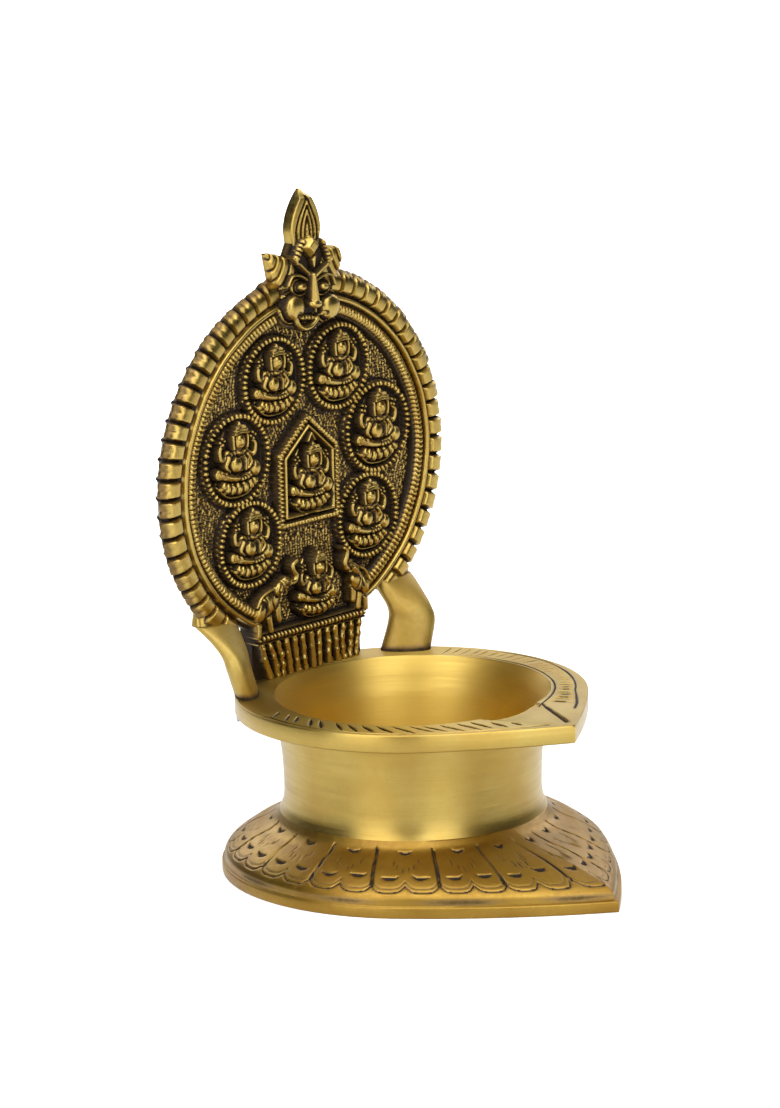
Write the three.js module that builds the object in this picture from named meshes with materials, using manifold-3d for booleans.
// Brass oil lamp with an ornamented back plate, in millimetres, +Z up.
// A round bowl with a teardrop rim stands on a flared teardrop foot, and its spout points to -Y.
// Two curved arms and a pleated panel carry the back plate at +Y, whose carved side faces -Y.
// The lamp is drawn about the bowl's axis, and the group at the end moves it so that the origin
// lies under the middle of its outline, on the surface that it stands on.
import * as THREE from "three";
import { mergeVertices } from "three/addons/utils/BufferGeometryUtils.js";
import Module from "manifold-3d";

// Foot
const FOOT_RADIUS = 47.8;
const FOOT_TIP = 66.4; // from the centre of the foot's round part to its point
const FOOT_TANGENT = 0.65; // angle below the X axis where the flanks leave the round part
const FOOT_CENTRE_Y = -0.5;
const FOOT_EDGE_HEIGHT = 2.8;
const FOOT_HEIGHT = 15;
const FOOT_WALL = 4.6; // measured level, which is also the width of the ring that it stands on
const DECK_THICKNESS = 3;
// How far up from the edge to the neck, and how far in from the foot's outline to the neck's circle
const FLARE_PROFILE = [
  { up: 0.03, inward: 0.045 },
  { up: 0.07, inward: 0.03 },
  { up: 0.17, inward: 0.034 },
  { up: 0.295, inward: 0.144 },
  { up: 0.45, inward: 0.32 },
  { up: 0.61, inward: 0.53 },
  { up: 0.73, inward: 0.75 },
  { up: 0.85, inward: 0.9 },
  { up: 1, inward: 1 },
];

// Waist and bowl
const NECK_RADIUS = 33; // where the bowl stands on the foot
const WAIST_RADIUS = 31.7; // the narrowest place
const WAIST_RISE = 6; // from the neck up to the narrowest place
const BOWL_TOP_RADIUS = 33.6; // outside, just under the rim
const BOWL_WALL = 2.4;
const BOWL_FLOOR = 3;
const BOWL_FLOOR_ROUND = 6;
const BOSS_RADIUS = 6;
const BOSS_CLEARANCE = 0.3;

// Teardrop rim
const BOWL_HEIGHT = 29.2; // from the neck up to the top of the rim
const RIM_THICKNESS = 4.6;
const RIM_OVERHANG = 9.8; // how far the round part of the rim stands out past the bowl
const RIM_POINT = 10.2; // how far the spout's point stands out past the round part
const RIM_TANGENT = 0.85; // angle below the X axis where the flanks leave the round part
const RIM_EDGE_ROUND = 0.5;
const OPENING_SPREAD = 1; // how much wider than the bowl's outside the opening is, on each side
const OPENING_SHORTFALL = 2.2; // how much less the opening reaches to the front than to the sides
const OPENING_CENTRE_Y = -1.2;
const OPENING_ROUND = 4; // height of the rounded lip round the opening
const TROUGH_HALF_WIDTH = 11;
const TROUGH_END_HALF_WIDTH = 1.8;
const TROUGH_TAPER = 1.2; // power by which the trough narrows on its way to the point
const TROUGH_DEPTH = 1.5;
const TROUGH_END_DEPTH = 0.5;
const TROUGH_TO_TIP = 2.6; // what is left between the trough's end and the rim's point

// Back plate
const PLATE_INSET = 0.9; // from the bowl's outside in to the front of the plate
const GROUND_DEPTH = 3; // from the top of the border down to the carved ground
const PLATE_THICKNESS = 6.3;
const PLATE_GAP = 10.8; // from the top of the rim up to the lowest point of the band's circle
const BAND_RADIUS = 42.2;
const BAND_HALF_WIDTH = 0.9;
const BORDER_GROOVE = 1.1;
const BORDER_FIRST_ANGLE = -66; // degrees above the X axis where the border starts, on either side
const BORDER_STEPS = 52;
const BAND_RIPPLE = [
  { of: (angle) => Math.sin(angle), by: -1.3 },
  { of: (angle) => Math.cos(2 * angle), by: 0.7 },
  { of: (angle) => Math.sin(3 * angle), by: -0.35 },
]; // how the hand-cut band strays from a circle
const CORD_RADIUS = 1.25;
const CORD_INSET = 2.5; // from the plain band in to the middle of the roped cord
const LOBES_PER_SIDE = 23;
const LOBE_CROWN = 7.1; // how far the lobes stand out past the band
const LOBE_BACK_BEVEL = 3.1; // how far in the lobes' rounded ends draw towards the back
const LOBE_GROOVE = 1.5; // how deep the cuts between the lobes are
const LOBE_FIRST_ANGLE = -54; // degrees above the X axis, on either side
const LOBE_LAST_ANGLE = 79;

// Pleated panel that stands on the rim
const PANEL_HALF_WIDTH = 19.3;
const PANEL_HEIGHT = 9.4;
const PLEATS = 17;
const PLEAT_DEPTH = 1.4;
const BEAD_BAND_HEIGHT = 2.4;

// Medallions, one entry for each mirrored pair, about the plate's centre
const MEDALLION_RADIUS = 10.3;
const MEDALLION_CORD = 1.1;
const MEDALLION_PAIRS = [
  { x: 11.4, z: 21.7, scale: 1 },
  { x: 25, z: 4, scale: 1.06 },
  { x: 20.9, z: -17.8, scale: 1 },
];

// House-shaped frame in the middle of the plate, with heights from the plate's centre
const SHRINE_HALF_WIDTH = 9.9;
const SHRINE_BOTTOM = -15.2;
const SHRINE_EAVES = 2.5;
const SHRINE_APEX = 11;
const SHRINE_CORD = 1.2;

// Seated figures, about the middle of one in a medallion: half sizes, place and relief of each lump
const FIGURE_LUMPS = [
  { halfX: 6.4, halfZ: 2.2, x: 0, z: -5.9, relief: 1.9 }, // lotus seat
  { halfX: 5.9, halfZ: 1.6, x: 0, z: -3.1, relief: 2.3 }, // crossed legs
  { halfX: 2.5, halfZ: 3.4, x: 0, z: 0, relief: 2.6 }, // body
  { halfX: 1.9, halfZ: 3, x: 0, z: 5.4, relief: 2.7 }, // crowned head
];
const FIGURE_ARM = { halfX: 1.3, halfZ: 3.2, x: 4, z: 1, relief: 1.6, lean: 0.35 };
const SHRINE_FIGURE_LIFT = 0.6; // above the middle of the shrine's walls
const LOW_FIGURE_DROP = 31.9; // below the plate's centre

// Elephants, about the middle of the body of the one at +X
const ELEPHANT_X = 14;
const ELEPHANT_DROP = 34.6;
const ELEPHANT_LUMPS = [
  { halfX: 4.6, halfZ: 3.4, x: 0, z: 0.4, relief: 2.6, lean: -0.5 }, // body
  { halfX: 1.5, halfZ: 3.2, x: 3.2, z: -4.2, relief: 1.9 }, // hind leg
  { halfX: 1.4, halfZ: 3, x: -2.6, z: -3.4, relief: 2 }, // front leg
  { halfX: 2.6, halfZ: 2.7, x: -4, z: 4.2, relief: 2.4 }, // head
];
const TRUNK = [[-4.6, 4.4], [-7, 4.6], [-8.2, 6.4], [-7.6, 8.6], [-6.2, 10.2]];
const TRUNK_RADIUS = 0.95;

// Crest: lion mask, leaf ears, diamond boss and pointed leaf
const MASK_LIFT = 1.2; // from the highest point of the band's circle up to the middle of the mask
const MASK_OUTLINE = [[0, -9.6], [5, -9], [9.4, -6], [9, 3], [6, 11.4], [0, 11.4]]; // right half
const MASK_RISE = 1; // how far the mask's flat parts stand proud of the plate's front
const CHEEK = { halfX: 3.6, halfZ: 3.6, x: 6.3, z: -5, relief: 1.9 };
const EYE = { halfX: 2.3, halfZ: 1.7, x: 3.9, z: 0.2, relief: 1.7 };
const NOSE = { halfX: 1.9, halfZ: 4.6, x: 0, z: -1.4, relief: 2.1 };
const BROW = [[0.8, 3], [4, 5.2], [7.2, 8.1]];
const BROW_RADIUS = 1;
const LIP = [[-4.2, -7.6], [-2.4, -9.6], [0, -10.3], [2.4, -9.6], [4.2, -7.6]];
const LIP_RADIUS = 1.1;
const BOSS = { halfX: 2.8, halfZ: 2.9, x: 0, z: 10.6, relief: 1.2 };
const EAR_ROOT = 5; // from the middle to where an ear leaves the mask
const EAR_REACH = 12.5;
const EAR_RIBS = 4;
const EAR_RIB_RADIUS = 0.8;
const EAR_THICKNESS = 2;
const FINIAL_LIFT = 9.9; // from the middle of the mask up to the leaf's foot
const FINIAL_HEIGHT = 14.5;
const FINIAL_HALF_WIDTH = 5.2;
const FINIAL_THICKNESS = 3.6;
const FINIAL_RISE = 1; // how far the leaf's ridge stands proud of the plate's front
const FINIAL_TIP_THICKNESS = 0.8; // what the slanting tip leaves of its thickness
const FINIAL_RIDGE = 0.5; // how far the middle of the leaf's face stands proud of its sides
const FINIAL_WIDEST = 0.3; // share of its height at which the leaf is widest

// Arms
const ARM_FOOT_INSET = 3.1; // from the round edge of the rim in to the middle of an arm's foot
const ARM_FOOT_ANGLE = 45;
const ARM_WIDTH = 12.6;
const ARM_THICKNESS = 6;
const ARM_TOP_OUT = 5.4; // from the band out to the middle of an arm's top
const ARM_HEIGHT = 17.4;
const ARM_BELLY_X = 31.3;
const ARM_BELLY_Y = 28.6;
const SHOULDER_HEIGHT = 4.5;
const SHOULDER_LEAN = 1.6; // how far the top of the shoulder lies out from its foot

// Fasteners
const SCREW_RADIUS = 1.4;
const SCREW_HEAD_RADIUS = 2.8;
const SCREW_HEAD_HEIGHT = 2;
const SCREW_BITE = 3.5; // length of thread in the piece that the screw holds
const PANEL_SCREW_X = 12;
const PANEL_SCREW_RADIUS = 1.2;
const PANEL_SCREW_HEAD_RADIUS = 2.2;
const BASE_SCREW_RADIUS = 2.4;
const BASE_SCREW_HEAD_RADIUS = 4.6;
const BASE_SCREW_BITE = 3.4;
const WASHER_RADIUS = 9;
const WASHER_THICKNESS = 1.2;
const SLOT_WIDTH = 1;
const SLOT_DEPTH = 0.9;
const SCREW_CLEARANCE = 0.3;

const ROUND_STEPS = 44; // points on each outline
const BORE_SIDES = 12;
const THROUGH = 1; // how far a cutting solid reaches past the face that it cuts
const BEYOND = 200; // a length past every part of the lamp, for solids that trim it

const lerp = THREE.MathUtils.lerp;
const radians = THREE.MathUtils.degToRad;
const SIDES = [-1, 1];

// Places that follow from the sizes
const waistZ = FOOT_HEIGHT + WAIST_RISE;
const rimTop = FOOT_HEIGHT + BOWL_HEIGHT;
const rimBottom = rimTop - RIM_THICKNESS;
const panelTop = rimTop + PANEL_HEIGHT;
const armTopZ = rimTop + ARM_HEIGHT;
const plateCentreZ = rimTop + PLATE_GAP + BAND_RADIUS;
const armTopX = Math.sqrt((BAND_RADIUS + ARM_TOP_OUT) ** 2 - (plateCentreZ - armTopZ) ** 2);
const maskZ = plateCentreZ + BAND_RADIUS + MASK_LIFT;
const elephantZ = plateCentreZ - ELEPHANT_DROP;
const rimRadius = BOWL_TOP_RADIUS + RIM_OVERHANG;
const rimTip = rimRadius + RIM_POINT;
const openingRadius = BOWL_TOP_RADIUS + OPENING_SPREAD;
const openingFront = openingRadius - OPENING_SHORTFALL;
const plateFrontY = BOWL_TOP_RADIUS - PLATE_INSET;
const plateBackY = plateFrontY + PLATE_THICKNESS;
const groundY = plateFrontY + GROUND_DEPTH;
const maskFaceY = plateFrontY - MASK_RISE;
const lobeSpan = LOBE_LAST_ANGLE - LOBE_FIRST_ANGLE;
const armFootRadius = rimRadius - ARM_FOOT_INSET;
const armTopY = plateBackY - ARM_THICKNESS / 2;
const deckBottom = FOOT_HEIGHT - DECK_THICKNESS;
const bossBottom = deckBottom + BOSS_CLEARANCE;
const panelScrewY = (groundY - PLEAT_DEPTH + plateBackY) / 2;
const washerBottom = deckBottom - WASHER_THICKNESS;
const baseScrewTop = bossBottom + BASE_SCREW_BITE;

const wasm = await Module();
wasm.setup();

// Solids and geometries
function solidOf(geometry) {
  const bare = geometry.clone();
  for (const name of Object.keys(bare.attributes)) if (name !== "position") bare.deleteAttribute(name);
  const merged = mergeVertices(bare, 1e-4);
  return new wasm.Manifold(
    new wasm.Mesh({
      numProp: 3,
      vertProperties: merged.attributes.position.array,
      triVerts: new Uint32Array(merged.index.array),
    }),
  );
}

function geometryOf(solid) {
  const mesh = solid.getMesh();
  const geometry = new THREE.BufferGeometry();
  geometry.setAttribute("position", new THREE.BufferAttribute(mesh.vertProperties, 3));
  geometry.setIndex(new THREE.BufferAttribute(mesh.triVerts, 1));
  const faceted = geometry.toNonIndexed();
  faceted.computeVertexNormals();
  return faceted;
}

const join = (solids) => solids.reduce((sum, solid) => sum.add(solid));

// A closed solid through rings of equally many points, with a flat fan over the first and last ring.
function loft(rings) {
  const count = rings[0].length;
  const vertices = rings.flat();
  const faces = [];
  for (let k = 0; k + 1 < rings.length; k++)
    for (let i = 0; i < count; i++) {
      const next = (i + 1) % count;
      const a = k * count + i;
      const b = k * count + next;
      faces.push([a, b, b + count], [a, b + count, a + count]);
    }
  for (const [ring, base, turned] of [
    [rings[0], 0, true],
    [rings.at(-1), (rings.length - 1) * count, false],
  ]) {
    const middle = ring
      .reduce((sum, point) => sum.add(new THREE.Vector3(...point)), new THREE.Vector3())
      .divideScalar(count);
    const centre = vertices.push(middle.toArray()) - 1;
    for (let i = 0; i < count; i++) {
      const next = (i + 1) % count;
      faces.push(turned ? [centre, base + next, base + i] : [centre, base + i, base + next]);
    }
  }
  const volume = faces.reduce((sum, [a, b, c]) => {
    const [p, q, r] = [a, b, c].map((i) => new THREE.Vector3(...vertices[i]));
    return sum + p.dot(q.cross(r));
  }, 0);
  const geometry = new THREE.BufferGeometry();
  geometry.setAttribute("position", new THREE.Float32BufferAttribute(vertices.flat(), 3));
  geometry.setIndex(faces.flatMap(([a, b, c]) => (volume > 0 ? [a, b, c] : [a, c, b])));
  return solidOf(geometry);
}

// Outlines, each a function from an angle to a distance from its centre
function teardrop(radius, tip, tangent) {
  const k = (tip * tip - radius * radius) / (2 * (radius - tip * Math.sin(tangent)));
  return (angle) => {
    const fromBack = Math.abs(THREE.MathUtils.euclideanModulo(angle + Math.PI / 2, 2 * Math.PI) - Math.PI);
    if (fromBack <= Math.PI / 2 + tangent) return radius;
    const along = k * Math.cos(fromBack - Math.PI / 2 - tangent + Math.PI);
    return along + Math.sqrt(along * along - k * k + (radius + k) ** 2);
  };
}

const circle = (radius) => () => radius;

function ring(outline, z, centreY = 0, steps = ROUND_STEPS) {
  return Array.from({ length: steps }, (_, i) => {
    const angle = (2 * Math.PI * i) / steps - Math.PI / 2;
    const r = outline(angle);
    return [r * Math.cos(angle), centreY + r * Math.sin(angle), z];
  });
}

function cylinder(radius, bottom, top, x = 0, y = 0, steps = 32) {
  const geometry = new THREE.CylinderGeometry(radius, radius, top - bottom, steps);
  geometry.rotateX(Math.PI / 2).translate(x, y, (bottom + top) / 2);
  return solidOf(geometry);
}

function box(width, depth, height, x, y, z) {
  return solidOf(new THREE.BoxGeometry(width, depth, height).translate(x, y, z));
}

// A lump of relief, its rounded face to the front, turned in the plate's plane.
function ellipsoid(halfX, halfY, halfZ, x, y, z, turn = 0, around = 8, down = 4) {
  const geometry = new THREE.SphereGeometry(1, around, down);
  geometry.rotateX(Math.PI / 2).scale(halfX, halfY, halfZ).rotateY(turn).translate(x, y, z);
  return solidOf(geometry);
}

// Extrudes an outline drawn in X and Z from one depth in Y back to another.
function slab(points, frontY, backY, steps = 12) {
  const drawn = points instanceof THREE.Shape;
  const shape = drawn ? points : new THREE.Shape(points.map(([x, z]) => new THREE.Vector2(x, z)));
  const geometry = new THREE.ExtrudeGeometry(shape, {
    depth: backY - frontY,
    bevelEnabled: false,
    curveSegments: steps,
  });
  geometry.rotateX(Math.PI / 2).translate(0, backY, 0);
  return solidOf(geometry);
}

// A tube of round section along points in the plate's plane, half sunk in the ground.
function cord(points, radius, depthY, closed, sides = 6) {
  const path = closed ? points : [points[0], ...points, points.at(-1)];
  const rings = points.map(([x, z], i) => {
    const before = closed ? path.at(i - 1) : path[i];
    const after = closed ? path[(i + 1) % path.length] : path[i + 2];
    const along = new THREE.Vector2(after[0] - before[0], after[1] - before[1]).normalize();
    return Array.from({ length: sides }, (_, j) => {
      const turn = (2 * Math.PI * (j + 0.5)) / sides;
      const out = radius * Math.cos(turn);
      return [x + along.y * out, depthY - radius * Math.sin(turn), z - along.x * out];
    });
  });
  if (!closed) return loft(rings);
  const count = rings.length;
  const faces = [];
  rings.forEach((_, k) => {
    for (let j = 0; j < sides; j++) {
      const a = k * sides + j;
      const b = k * sides + ((j + 1) % sides);
      const c = ((k + 1) % count) * sides + ((j + 1) % sides);
      const d = ((k + 1) % count) * sides + j;
      faces.push(a, b, c, a, c, d);
    }
  });
  const geometry = new THREE.BufferGeometry();
  geometry.setAttribute("position", new THREE.Float32BufferAttribute(rings.flat(2), 3));
  geometry.setIndex(faces);
  const made = solidOf(geometry);
  if (made.volume() > 0) return made;
  geometry.setIndex(faces.map((_, i) => faces[i - (i % 3) + [0, 2, 1][i % 3]]));
  return solidOf(geometry);
}

const footOutline = teardrop(FOOT_RADIUS, FOOT_TIP, FOOT_TANGENT);
const rimOutline = teardrop(rimRadius, rimTip, RIM_TANGENT);

// Foot: a low edge, a shallow groove, and a flare that turns from the teardrop to the round neck
function flareRing(z, inward, inset) {
  const outline = (angle) => lerp(footOutline(angle), NECK_RADIUS, inward) - inset;
  return ring(outline, z, FOOT_CENTRE_Y * (1 - inward));
}

function footSolid() {
  const flare = FLARE_PROFILE.map(({ up, inward }) => [lerp(FOOT_EDGE_HEIGHT, FOOT_HEIGHT, up), inward]);
  const outside = [[0, 0], [FOOT_EDGE_HEIGHT, 0], ...flare].map(([z, inward]) => flareRing(z, inward, 0));
  const below = flare.filter(([z]) => z < deckBottom).slice(2);
  const hollow = [[-THROUGH, 0], ...below].map(([z, inward]) => flareRing(z, inward, FOOT_WALL));
  hollow.push(flareRing(deckBottom, below.at(-1)[1], 2 * FOOT_WALL));
  const bossHole = cylinder(BOSS_RADIUS + BOSS_CLEARANCE, deckBottom - THROUGH, FOOT_HEIGHT + THROUGH);
  return loft(outside).subtract(loft(hollow)).subtract(bossHole);
}

// Bowl: its wall is the waist that shows below the rim
const WAIST_CURVE = [
  { z: FOOT_HEIGHT, radius: NECK_RADIUS },
  { z: lerp(FOOT_HEIGHT, waistZ, 0.25), radius: lerp(NECK_RADIUS, WAIST_RADIUS, 0.62) },
  { z: lerp(FOOT_HEIGHT, waistZ, 0.6), radius: lerp(NECK_RADIUS, WAIST_RADIUS, 0.93) },
  { z: waistZ, radius: WAIST_RADIUS },
  { z: lerp(waistZ, rimBottom, 0.35), radius: lerp(WAIST_RADIUS, BOWL_TOP_RADIUS, 0.12) },
  { z: lerp(waistZ, rimBottom, 0.7), radius: lerp(WAIST_RADIUS, BOWL_TOP_RADIUS, 0.5) },
  { z: rimBottom, radius: BOWL_TOP_RADIUS },
];

function waistRadius(z) {
  const above = Math.max(1, WAIST_CURVE.findIndex((point) => point.z >= z));
  const [low, high] = [WAIST_CURVE[above - 1], WAIST_CURVE[above]];
  return lerp(low.radius, high.radius, (z - low.z) / (high.z - low.z));
}

// The opening is round at the back and drawn in a little towards the spout.
function openingPoint(angle, inner, share, z) {
  const front = Math.sin(angle) < 0 ? openingFront : openingRadius;
  const x = lerp(openingRadius * Math.cos(angle), inner * Math.cos(angle), share);
  const y = lerp(OPENING_CENTRE_Y + front * Math.sin(angle), inner * Math.sin(angle), share);
  return [x, y, z];
}

function openingRing(inner, share, z) {
  const angles = Array.from({ length: ROUND_STEPS }, (_, i) => (2 * Math.PI * i) / ROUND_STEPS);
  return angles.map((angle) => openingPoint(angle, inner, share, z));
}

function bowlCavity() {
  const floor = FOOT_HEIGHT + BOWL_FLOOR;
  const bend = [0, 0.33, 0.67, 1].map((share) => (share * Math.PI) / 2);
  const lipBottom = rimTop - OPENING_ROUND;
  const inner = (z) => waistRadius(z) - BOWL_WALL;
  const bottom = bend.map((turn) => {
    const z = floor + BOWL_FLOOR_ROUND * (1 - Math.cos(turn));
    return openingRing(inner(z) - BOWL_FLOOR_ROUND * (1 - Math.sin(turn)), 1, z);
  });
  const wall = [0.5, 1].map((share) => lerp(floor + BOWL_FLOOR_ROUND, rimBottom - THROUGH, share));
  const lip = bend
    .map((turn) => openingRing(inner(rimBottom), Math.sin(turn), lipBottom + OPENING_ROUND * Math.cos(turn)))
    .reverse();
  const above = openingRing(0, 0, rimTop + THROUGH);
  return loft([...bottom, ...wall.map((z) => openingRing(inner(z), 1, z)), ...lip, above]);
}

// The wick's trough runs from the opening towards the rim's point.
function troughSolid() {
  const start = OPENING_CENTRE_Y - openingFront + OPENING_ROUND;
  const end = TROUGH_TO_TIP - rimTip;
  const rings = [0, 0.3, 0.6, 0.85, 1].map((share) => {
    const half = lerp(TROUGH_HALF_WIDTH, TROUGH_END_HALF_WIDTH, share ** TROUGH_TAPER);
    const depth = lerp(TROUGH_DEPTH, TROUGH_END_DEPTH, share);
    const hollow = Array.from({ length: 9 }, (_, i) => {
      const turn = (Math.PI * i) / 8;
      return [half * Math.cos(turn), lerp(start, end, share), rimTop - depth * Math.sin(turn)];
    });
    const lid = [-half, half].map((x) => [x, lerp(start, end, share), rimTop + THROUGH]);
    return [...hollow, ...lid];
  });
  return loft(rings);
}

function bowlSolid() {
  const waist = WAIST_CURVE.map(({ z, radius }) => ring(circle(radius), z));
  const rim = [
    [rimBottom, RIM_EDGE_ROUND],
    [rimBottom + RIM_EDGE_ROUND, 0],
    [rimTop - RIM_EDGE_ROUND, 0],
    [rimTop, RIM_EDGE_ROUND],
  ].map(([z, inset]) => ring((angle) => rimOutline(angle) - inset, z));
  const boss = cylinder(BOSS_RADIUS, bossBottom, FOOT_HEIGHT + THROUGH);
  const [low, high] = [rimBottom - THROUGH, rimTop + THROUGH];
  const holes = SIDES.flatMap((side) => [
    cylinder(SCREW_RADIUS + SCREW_CLEARANCE, low, high, ...armFootCentre(side), BORE_SIDES),
    cylinder(PANEL_SCREW_RADIUS + SCREW_CLEARANCE, low, high, side * PANEL_SCREW_X, panelScrewY, BORE_SIDES),
  ]);
  const baseBoreTop = baseScrewTop + SCREW_CLEARANCE;
  holes.push(cylinder(BASE_SCREW_RADIUS + SCREW_CLEARANCE, bossBottom - THROUGH, baseBoreTop));
  const body = loft([...waist, ...rim]).add(boss).subtract(bowlCavity()).subtract(troughSolid());
  return holes.reduce((left, hole) => left.subtract(hole), body);
}

// Back plate: the border's radius about the plate's centre
const bandRadius = (angle) =>
  BAND_RIPPLE.reduce((radius, { of, by }) => radius + by * of(angle), BAND_RADIUS);

function polar(angle, radius, y) {
  return [radius * Math.cos(angle), y, plateCentreZ + radius * Math.sin(angle)];
}

// Carved ground with the panel below it, in one flat piece
function groundSolid() {
  const outline = Array.from({ length: ROUND_STEPS }, (_, i) => {
    const angle = (2 * Math.PI * i) / ROUND_STEPS;
    const [x, , z] = polar(angle, bandRadius(angle) - CORD_INSET, 0);
    return [x, z];
  });
  const panelHeight = armTopZ + SHOULDER_HEIGHT - rimTop;
  const panel = box(
    2 * PANEL_HALF_WIDTH,
    plateBackY - groundY,
    panelHeight,
    0,
    (groundY + plateBackY) / 2,
    rimTop + panelHeight / 2,
  );
  return slab(outline, groundY, plateBackY).add(panel);
}

// Roped cord and plain band round the ground, as a section swept round the plate
function borderSolid() {
  const cordOut = -CORD_INSET;
  const section = [
    [cordOut - CORD_RADIUS - 0.4, PLATE_THICKNESS],
    [cordOut - CORD_RADIUS - 0.2, 1.4],
    [cordOut - CORD_RADIUS * 0.7, 0.3],
    [cordOut, 0],
    [cordOut + CORD_RADIUS * 0.7, 0.3],
    [-BAND_HALF_WIDTH - 0.2, BORDER_GROOVE],
    [-BAND_HALF_WIDTH * 0.7, 0.1],
    [BAND_HALF_WIDTH * 0.7, 0.1],
    [BAND_HALF_WIDTH + 0.3, BORDER_GROOVE],
    [BAND_HALF_WIDTH + 1.2, PLATE_THICKNESS],
  ];
  return sweepRound(BORDER_FIRST_ANGLE, BORDER_STEPS, () => section);
}

function sweepRound(firstAngle, steps, sectionAt) {
  const rings = Array.from({ length: steps + 1 }, (_, i) => {
    const angle = radians(lerp(firstAngle, 180 - firstAngle, i / steps));
    return sectionAt(i).map(([out, depth]) => polar(angle, bandRadius(angle) + out, plateFrontY + depth));
  });
  return loft(rings);
}

// Gadrooned edge: rounded lobes with a cut between each two, run round in one sweep
function lobeSolid() {
  const start = BAND_HALF_WIDTH;
  const crown = [
    [start, PLATE_THICKNESS],
    [start, BORDER_GROOVE],
    [lerp(start, LOBE_CROWN, 0.25), 0.2],
    [lerp(start, LOBE_CROWN, 0.65), 0.4],
    [LOBE_CROWN - 0.3, 1.8],
    [LOBE_CROWN, PLATE_THICKNESS * 0.48],
    [LOBE_CROWN - LOBE_BACK_BEVEL * 0.45, PLATE_THICKNESS * 0.73],
    [LOBE_CROWN - LOBE_BACK_BEVEL, PLATE_THICKNESS],
  ];
  const groove = crown.map(([out, depth], i) => {
    const uncut = i < 2 || i === crown.length - 1;
    return uncut ? [out, depth] : [out - (LOBE_GROOVE * i) / crown.length, depth + LOBE_GROOVE];
  });
  const lobes = 2 * LOBES_PER_SIDE + Math.round((2 * (90 - LOBE_LAST_ANGLE) * LOBES_PER_SIDE) / lobeSpan);
  return sweepRound(LOBE_FIRST_ANGLE, 3 * lobes, (i) => (i % 3 === 0 ? groove : crown));
}

// Pads behind the lowest lobes, level underneath, on which the plate meets its arms
function shoulderSolid(side) {
  const rings = [0, 0.5, 1].map((share) => {
    const half = lerp(ARM_WIDTH / 2, ARM_WIDTH / 3, share);
    const x = side * (armTopX + share * SHOULDER_LEAN);
    return armSection(x, armTopY, armTopZ + share * SHOULDER_HEIGHT, half, ARM_THICKNESS / 2, 0, side);
  });
  return loft(rings);
}

function panelSolid() {
  const step = (2 * PANEL_HALF_WIDTH) / PLEATS;
  const front = Array.from({ length: PLEATS }, (_, i) => {
    const x = -PANEL_HALF_WIDTH + i * step;
    return [
      [x + 0.08 * step, groundY],
      [x + 0.25 * step, groundY - PLEAT_DEPTH],
      [x + 0.75 * step, groundY - PLEAT_DEPTH],
      [x + 0.92 * step, groundY],
    ];
  }).flat();
  const section = [[-PANEL_HALF_WIDTH, plateBackY], ...front, [PANEL_HALF_WIDTH, plateBackY]];
  const shape = new THREE.Shape(section.map(([x, y]) => new THREE.Vector2(x, y)));
  const pleats = new THREE.ExtrudeGeometry(shape, { depth: panelTop - rimTop, bevelEnabled: false });
  pleats.translate(0, 0, rimTop);
  const band = cord(
    [
      [-PANEL_HALF_WIDTH, panelTop + BEAD_BAND_HEIGHT / 2],
      [PANEL_HALF_WIDTH, panelTop + BEAD_BAND_HEIGHT / 2],
    ],
    BEAD_BAND_HEIGHT / 2 / Math.cos(Math.PI / 8),
    groundY,
    false,
    8,
  );
  return solidOf(pleats).add(band);
}

// A lump of relief on the carved ground, from its entry in one of the lists above
function lump({ halfX, halfZ, x, z, relief, lean = 0 }, atX, atZ, side = 1, scale = 1) {
  const [width, height] = [halfX * scale, halfZ * scale];
  const [placeX, placeZ] = [atX + side * x * scale, atZ + z * scale];
  return ellipsoid(width, relief, height, placeX, groundY, placeZ, side * lean);
}

// The same on the face of the mask
function maskLump({ halfX, halfZ, x, z, relief }, side = 1, around = 8) {
  return ellipsoid(halfX, relief, halfZ, side * x, maskFaceY, maskZ + z, 0, around, around / 2);
}

// A figure sitting cross-legged on a lotus
function seatedFigure(x, z, scale = 1) {
  const middle = FIGURE_LUMPS.map((entry) => lump(entry, x, z, 1, scale));
  const arms = SIDES.map((side) => lump(FIGURE_ARM, x, z, side, scale));
  return [...middle, ...arms];
}

function medallion({ x, z: up, scale }, side) {
  const steps = 16;
  const z = plateCentreZ + up;
  const points = Array.from({ length: steps }, (_, i) => {
    const angle = (2 * Math.PI * i) / steps;
    const radius = MEDALLION_RADIUS * scale;
    return [side * x + radius * Math.cos(angle), z + radius * Math.sin(angle)];
  });
  return [cord(points, MEDALLION_CORD, groundY, true), ...seatedFigure(side * x, z, scale)];
}

function shrineParts() {
  const [bottom, eaves] = [plateCentreZ + SHRINE_BOTTOM, plateCentreZ + SHRINE_EAVES];
  const points = [
    [-SHRINE_HALF_WIDTH, bottom],
    [SHRINE_HALF_WIDTH, bottom],
    [SHRINE_HALF_WIDTH, eaves],
    [0, plateCentreZ + SHRINE_APEX],
    [-SHRINE_HALF_WIDTH, eaves],
  ];
  const middle = (bottom + eaves) / 2;
  return [cord(points, SHRINE_CORD, groundY, true), ...seatedFigure(0, middle + SHRINE_FIGURE_LIFT)];
}

// An elephant in side view that lifts its trunk towards the seated figure
function elephant(side) {
  const trunk = TRUNK.map(([x, z]) => [side * (ELEPHANT_X + x), elephantZ + z]);
  return [
    ...ELEPHANT_LUMPS.map((entry) => lump(entry, side * ELEPHANT_X, elephantZ, side)),
    cord(trunk, TRUNK_RADIUS, groundY, false),
  ];
}

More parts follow.
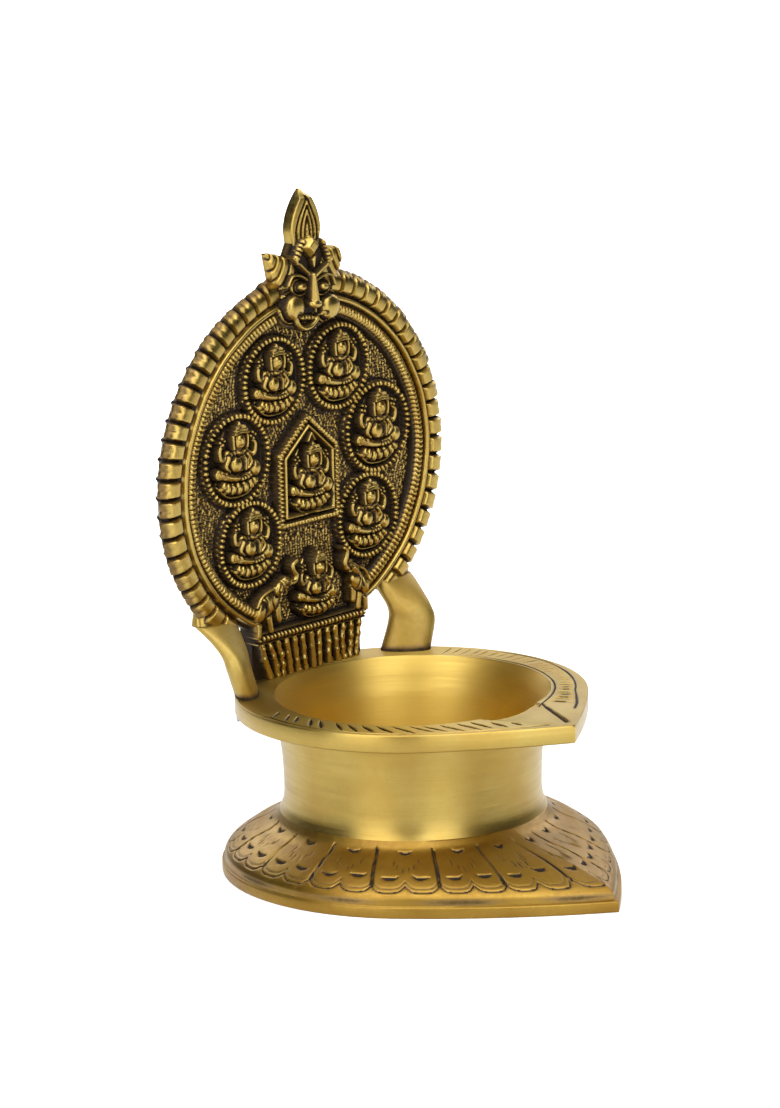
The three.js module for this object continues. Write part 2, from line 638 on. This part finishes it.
// Crest: a lion mask between ribbed leaf ears, under a pointed leaf
function crestParts() {
  const onMask = (points, side = 1) => points.map(([x, z]) => [side * x, maskZ + z]);
  const outline = [...onMask(MASK_OUTLINE), ...onMask(MASK_OUTLINE.slice(1, -1), -1).reverse()];
  const face = slab(outline, maskFaceY, plateBackY);
  const features = SIDES.flatMap((side) => [
    maskLump(CHEEK, side, 12),
    maskLump(EYE, side),
    cord(onMask(BROW, side), BROW_RADIUS, maskFaceY, false),
    earSolid(side),
  ]);
  const lip = cord(onMask(LIP), LIP_RADIUS, maskFaceY, false);
  return [face, ...features, maskLump(NOSE), maskLump(BOSS), lip, finialSolid()];
}

// A leaf that rises outwards, with ribs across it and a thick root where it meets the plate's edge
function earSolid(side) {
  const at = (x, up) => [side * x, maskZ + up];
  const shape = new THREE.Shape();
  shape.moveTo(...at(EAR_ROOT, -0.5));
  shape.quadraticCurveTo(...at(lerp(EAR_ROOT, EAR_REACH, 0.67), 1), ...at(EAR_REACH - 1, 3.2));
  shape.quadraticCurveTo(...at(EAR_REACH, 5.5), ...at(EAR_REACH, 7.6));
  shape.quadraticCurveTo(...at(EAR_REACH, 9.4), ...at(EAR_REACH - 1.6, 9.3));
  shape.quadraticCurveTo(...at(lerp(EAR_ROOT, EAR_REACH, 0.53), 9), ...at(EAR_ROOT, 7.6));
  const leaf = slab(shape, plateFrontY, plateFrontY + EAR_THICKNESS, 4);
  const [inner, outer] = [EAR_ROOT - 1, EAR_REACH - 1.5];
  const foot = [at(inner, -1.5), at(outer, -1.5), at(outer, 3.2), at(inner, 4.5)];
  const root = slab(foot, plateFrontY + EAR_THICKNESS / 2, plateBackY);
  const ribs = Array.from({ length: EAR_RIBS }, (_, i) => {
    const share = (i + 0.5) / EAR_RIBS;
    const high = at(lerp(EAR_ROOT, EAR_REACH, 0.08 + 0.84 * share), lerp(5.8, 8.1, share));
    const low = at(lerp(EAR_ROOT, EAR_REACH, 0.3 + 0.65 * share), lerp(1.6, 4.8, share));
    return cord([high, low], EAR_RIB_RADIUS, plateFrontY, false);
  });
  return join([leaf, root, ...ribs]);
}

// Pointed leaf with a ridge down the middle of its face
function finialSolid() {
  const ridgeY = plateFrontY - FINIAL_RISE;
  const back = ridgeY + FINIAL_THICKNESS;
  const rings = [0, 0.12, 0.3, 0.5, 0.7, 0.86, 1].map((share) => {
    const past = Math.max(0, share - FINIAL_WIDEST) / (1 - FINIAL_WIDEST);
    const rising = lerp(0.86, 1, share / FINIAL_WIDEST);
    const swell = share < FINIAL_WIDEST ? rising : Math.cos((past * Math.PI) / 2) ** 0.8;
    const half = Math.max(FINIAL_HALF_WIDTH * swell, 0.35);
    const z = maskZ + FINIAL_LIFT + share * FINIAL_HEIGHT;
    const front = share < 1 ? ridgeY : back - FINIAL_TIP_THICKNESS;
    const ridge = Math.min(FINIAL_RIDGE, half * 0.5);
    return [
      [-half, back, z],
      [half, back, z],
      [half, front + ridge, z],
      [half * 0.35, front + ridge * 0.4, z],
      [0, front, z],
      [-half * 0.35, front + ridge * 0.4, z],
      [-half, front + ridge, z],
    ];
  });
  return loft(rings);
}

function plateSolid() {
  const rim = join([borderSolid(), lobeSolid()]);
  const beyond = (low, size) => low + size / 2;
  const trims = SIDES.map((side) => {
    const x = side * beyond(PANEL_HALF_WIDTH, BEYOND);
    return box(BEYOND, BEYOND, BEYOND, x, 0, armTopZ - BEYOND / 2);
  });
  const trimmed = trims.reduce((left, trim) => left.subtract(trim), rim.add(groundSolid()));
  const inside = box(2 * PANEL_HALF_WIDTH, BEYOND, BEYOND, 0, groundY - BEYOND / 2, armTopZ - BEYOND / 2);
  const relief = [
    ...MEDALLION_PAIRS.flatMap((pair) => [...medallion(pair, -1), ...medallion(pair, 1)]),
    ...shrineParts(),
    ...seatedFigure(0, plateCentreZ - LOW_FIGURE_DROP),
    ...elephant(-1),
    ...elephant(1),
    ...crestParts(),
    ...SIDES.map(shoulderSolid),
  ];
  const [low, high] = [rimTop - THROUGH, rimTop + SCREW_BITE + SCREW_CLEARANCE];
  const bore = PANEL_SCREW_RADIUS + SCREW_CLEARANCE;
  const holes = SIDES.map((side) =>
    cylinder(bore, low, high, side * PANEL_SCREW_X, panelScrewY, BORE_SIDES),
  );
  const whole = join([trimmed.subtract(inside), panelSolid(), ...relief]);
  const behind = box(BEYOND, BEYOND, BEYOND, 0, beyond(plateBackY, BEYOND), plateCentreZ);
  return holes.reduce((left, hole) => left.subtract(hole), whole.subtract(behind));
}

// Arms: bars of rounded section that turn from facing the bowl's axis to facing forwards
function armFootCentre(side) {
  const angle = radians(ARM_FOOT_ANGLE);
  return [side * armFootRadius * Math.sin(angle), armFootRadius * Math.cos(angle)];
}

function armSection(x, y, z, halfWidth, halfThickness, yaw, side) {
  const count = 16;
  return Array.from({ length: count }, (_, i) => {
    const turn = (2 * Math.PI * (i + 0.5)) / count;
    const across = halfWidth * Math.sign(Math.cos(turn)) * Math.abs(Math.cos(turn)) ** 0.7;
    const out = halfThickness * Math.sign(Math.sin(turn)) * Math.abs(Math.sin(turn)) ** 0.7;
    const dx = across * Math.cos(yaw) + out * Math.sin(yaw);
    const dy = -across * Math.sin(yaw) + out * Math.cos(yaw);
    return [x + side * dx, y + dy, z];
  });
}

function armSolid(side) {
  const [footX, footY] = armFootCentre(1);
  const bellyTopY = lerp(ARM_BELLY_Y, armTopY, 0.52);
  const stations = [
    { up: 0, x: footX, y: footY, turned: 1, broad: 1 },
    { up: 0.4, x: ARM_BELLY_X - 0.3, y: ARM_BELLY_Y, turned: 0.93, broad: 0.94 },
    { up: 0.6, x: ARM_BELLY_X, y: ARM_BELLY_Y + 1, turned: 0.78, broad: 0.88 },
    { up: 0.8, x: ARM_BELLY_X, y: bellyTopY, turned: 0.45, broad: 0.9 },
    { up: 1, x: armTopX, y: armTopY, turned: 0, broad: 0.97 },
  ];
  const steps = 12;
  const along = (key) => {
    const points = stations.map((station) => new THREE.Vector3(station.up, station[key], 0));
    return new THREE.CatmullRomCurve3(points, false, "catmullrom").getPoints(steps);
  };
  const [x, y, turned, broad] = ["x", "y", "turned", "broad"].map(along);
  const rings = x.map((point, i) =>
    armSection(
      side * point.y,
      y[i].y,
      lerp(rimTop, armTopZ, point.x),
      (ARM_WIDTH / 2) * broad[i].y,
      ARM_THICKNESS / 2,
      radians(ARM_FOOT_ANGLE) * turned[i].y,
      side,
    ),
  );
  const boreTop = rimTop + SCREW_BITE + SCREW_CLEARANCE;
  const boreRadius = SCREW_RADIUS + SCREW_CLEARANCE;
  const bore = cylinder(boreRadius, rimTop - THROUGH, boreTop, ...armFootCentre(side), BORE_SIDES);
  return loft(rings).subtract(bore);
}

// Fasteners, all driven from below
function screwSolid(radius, headRadius, headTop, shankTop, x = 0, y = 0) {
  const headBottom = headTop - SCREW_HEAD_HEIGHT;
  const head = cylinder(headRadius, headBottom, headTop, x, y, 16);
  const shank = cylinder(radius, headBottom + SLOT_DEPTH, shankTop, x, y, 12);
  const slot = box(3 * headRadius, SLOT_WIDTH, 2 * SLOT_DEPTH, x, y, headBottom);
  return head.add(shank).subtract(slot);
}

const rimScrewTop = rimTop + SCREW_BITE;

const armScrew = (side) =>
  screwSolid(SCREW_RADIUS, SCREW_HEAD_RADIUS, rimBottom, rimScrewTop, ...armFootCentre(side));

function panelScrew(side) {
  const x = side * PANEL_SCREW_X;
  return screwSolid(PANEL_SCREW_RADIUS, PANEL_SCREW_HEAD_RADIUS, rimBottom, rimScrewTop, x, panelScrewY);
}

function baseWasher() {
  const [low, high] = [washerBottom - THROUGH, deckBottom + THROUGH];
  const hole = cylinder(BASE_SCREW_RADIUS + SCREW_CLEARANCE, low, high, 0, 0, BORE_SIDES);
  return cylinder(WASHER_RADIUS, washerBottom, deckBottom, 0, 0, 24).subtract(hole);
}

const baseScrew = () =>
  screwSolid(BASE_SCREW_RADIUS, BASE_SCREW_HEAD_RADIUS, washerBottom, baseScrewTop);

// Finishes
const SATIN_BRASS = { color: 0xb99a4b, roughness: 0.38, metalness: 1 };
const AGED_BRASS = { color: 0x8a6f35, roughness: 0.45, metalness: 1 };
const STEEL = { color: 0x9a9a9c, roughness: 0.35, metalness: 1 };

// The lamp, moved so that its origin is under the middle of its outline
const lamp = new THREE.Group();
lamp.position.y = (FOOT_TIP - FOOT_RADIUS) / 2 - FOOT_CENTRE_Y;

function place(name, solid, finish) {
  const mesh = new THREE.Mesh(geometryOf(solid), new THREE.MeshStandardMaterial(finish));
  mesh.name = name;
  lamp.add(mesh);
}

place("foot", footSolid(), SATIN_BRASS);
place("oil_bowl", bowlSolid(), SATIN_BRASS);
place("back_plate", plateSolid(), AGED_BRASS);
for (const [side, name] of [
  [-1, "left"],
  [1, "right"],
]) {
  place(`${name}_arm`, armSolid(side), SATIN_BRASS);
  place(`${name}_arm_screw`, armScrew(side), STEEL);
  place(`${name}_panel_screw`, panelScrew(side), STEEL);
}
place("base_washer", baseWasher(), STEEL);
place("base_screw", baseScrew(), STEEL);

export default lamp;
